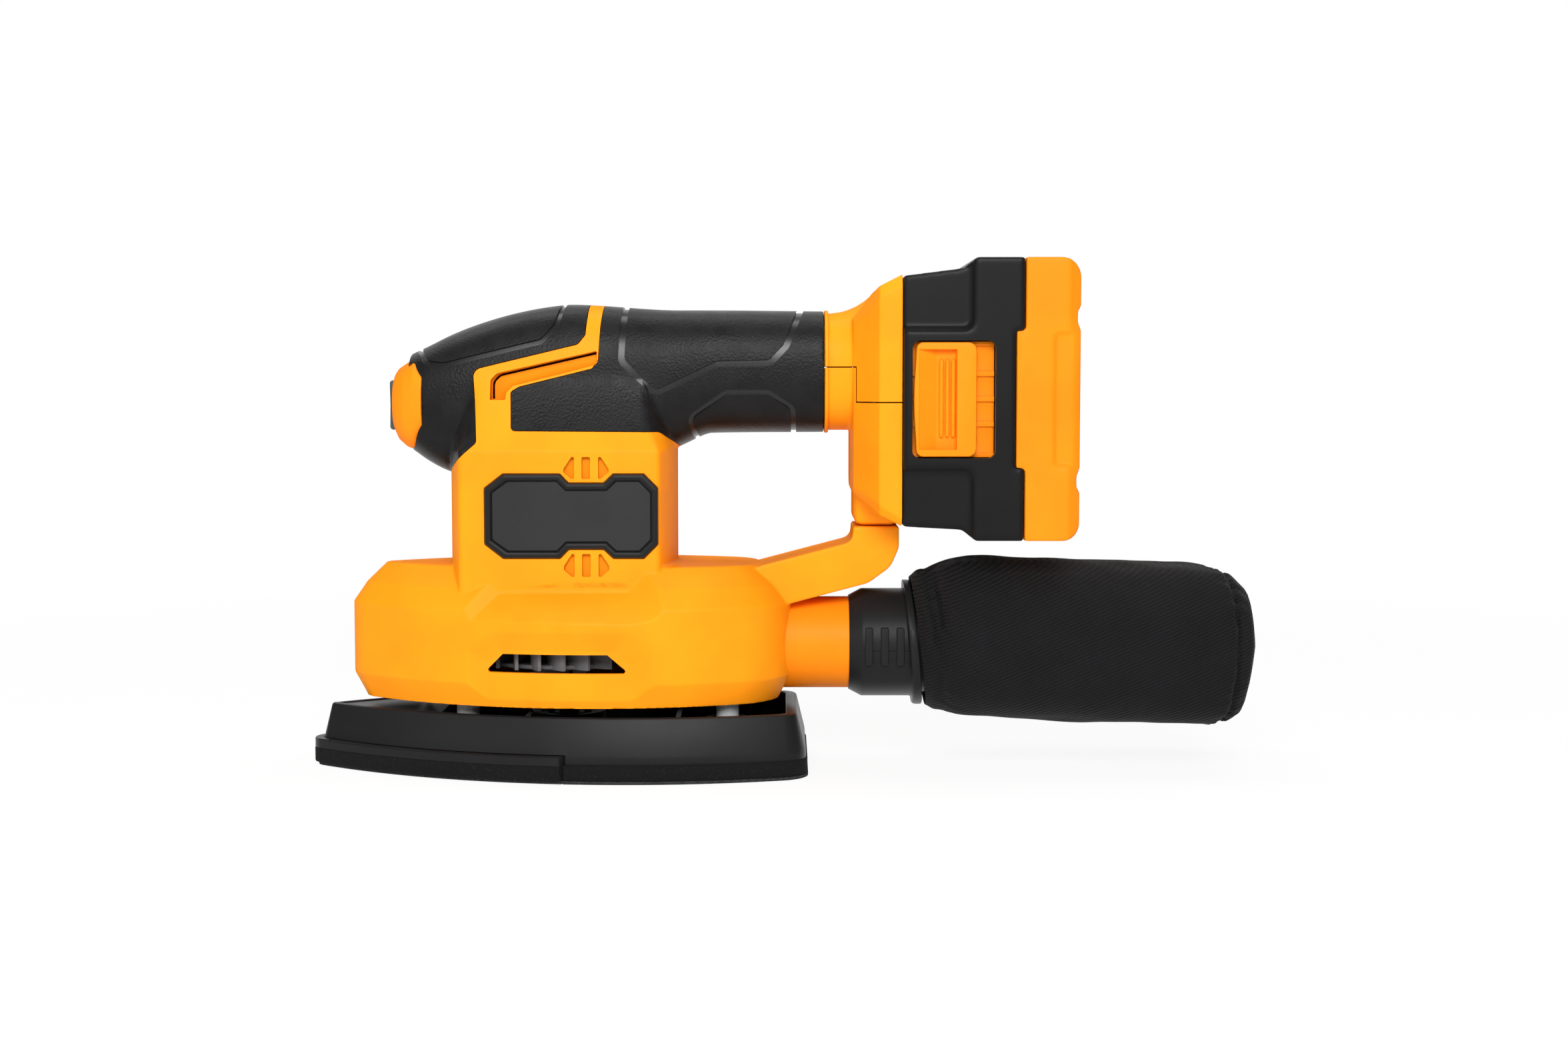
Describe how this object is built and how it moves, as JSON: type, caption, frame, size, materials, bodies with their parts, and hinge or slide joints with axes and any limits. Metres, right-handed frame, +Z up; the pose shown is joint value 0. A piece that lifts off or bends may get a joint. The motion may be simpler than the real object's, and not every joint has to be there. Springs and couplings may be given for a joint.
{
  "type": "orbital sander",
  "caption": "Cordless multi-sander: iron-shaped orbiting pad under a motor column, D-shaped handle with a front rocker, slide-on battery pack behind it and a cloth dust bag on the rear port.",
  "frame": {"origin": "where the motor's axis meets the sanding face", "axes": "+Z up along the motor's axis, +X from the tip of the pad towards the dust bag, -Y the tool's right-hand side"},
  "size_m": [0.3653, 0.0918, 0.1955],
  "materials": {
    "housing_orange": "satin moulded plastic",
    "black_plastic": "fine textured plastic",
    "grip_rubber": "soft overmoulded rubber",
    "charcoal_plastic": "satin plastic",
    "pad_foam": "open foam",
    "hook_sheet": "hook fastener",
    "steel": "machined",
    "copper": "bare metal",
    "post_rubber": "grey rubber",
    "rocker_plastic": "satin plastic",
    "bag_cloth": "woven cloth",
    "cell_wrap": "shrink wrap",
    "red_wire": "wire insulation",
    "black_wire": "wire insulation"
  },
  "bodies": {
    "housing": {"right_shell": "housing_orange", "left_shell": "housing_orange", "right_nose_grip": "grip_rubber", "left_nose_grip": "grip_rubber", "right_handle_grip": "grip_rubber", "left_handle_grip": "grip_rubber", "right_badge_frame": "black_plastic", "left_badge_frame": "black_plastic", "right_badge_plate": "charcoal_plastic", "left_badge_plate": "charcoal_plastic", "nose_cap": "housing_orange", "switch_body": "charcoal_plastic", "base_plate": "black_plastic", "dust_port": "housing_orange", "motor_can": "steel", "motor_end_cap": "black_plastic", "front_magnet": "charcoal_plastic", "rear_magnet": "charcoal_plastic", "foot_lower_shell": "housing_orange", "foot_upper_shell": "housing_orange", "terminal_block": "black_plastic", "positive_blade": "copper", "negative_blade": "copper", "positive_lead": "red_wire", "negative_lead": "black_wire", "housing_screw_1": "steel", "housing_screw_2": "steel", "housing_screw_3": "steel", "housing_screw_4": "steel", "housing_screw_5": "steel", "housing_screw_6": "steel"},
    "rotor": {"motor_shaft": "steel", "armature": "copper", "commutator": "copper", "eccentric": "steel", "bearing_inner_ring": "steel", "fan": "charcoal_plastic"},
    "pad": {"tip_hook_sheet": "hook_sheet", "rear_hook_sheet": "hook_sheet", "tip_foam": "pad_foam", "rear_foam": "pad_foam", "tip_plate": "black_plastic", "pad_tray": "black_plastic", "bearing_outer_ring": "steel", "bearing_balls": "steel", "rubber_post_1": "post_rubber", "rubber_post_2": "post_rubber", "rubber_post_3": "post_rubber", "rubber_post_4": "post_rubber", "tip_plate_screw": "steel"},
    "rocker": {"rocker": "rocker_plastic"},
    "battery": {"battery_case": "black_plastic", "button_guide": "housing_orange", "battery_cover": "housing_orange", "cell_block": "cell_wrap", "battery_board": "charcoal_plastic"},
    "release": {"release_button": "housing_orange", "latch": "steel"},
    "dust_collector": {"bag_collar": "black_plastic", "dust_bag": "bag_cloth"}
  },
  "joints": [
    {"name": "spindle_spin", "type": "hinge", "parent": "housing", "child": "rotor", "pos_m": [0, 0, 0.06], "axis": [0, 0, 1], "continuous": true},
    {"name": "pad_orbit", "type": "hinge", "parent": "rotor", "child": "pad", "pos_m": [0.001, 0, 0.017], "axis": [0, 0, 1], "continuous": true},
    {"name": "rocker_tilt", "type": "hinge", "parent": "housing", "child": "rocker", "pos_m": [-0.0634, 0, 0.1405], "axis": [0, 1, 0], "range_deg": [-5, 5]},
    {"name": "battery_slide", "type": "slide", "parent": "housing", "child": "battery", "axis": [0, -1, 0], "range_m": [0, 0.08]},
    {"name": "release_slide", "type": "slide", "parent": "battery", "child": "release", "axis": [1, 0, 0], "range_m": [0, 0.0065], "stiffness_N_per_m": 600},
    {"name": "dust_bag_slide", "type": "slide", "parent": "housing", "child": "dust_collector", "axis": [1, 0, 0], "range_m": [0, 0.03]}
  ],
  "couplings": [
    {"joint": "pad_orbit", "follows": "spindle_spin", "ratio": -1}
  ]
}
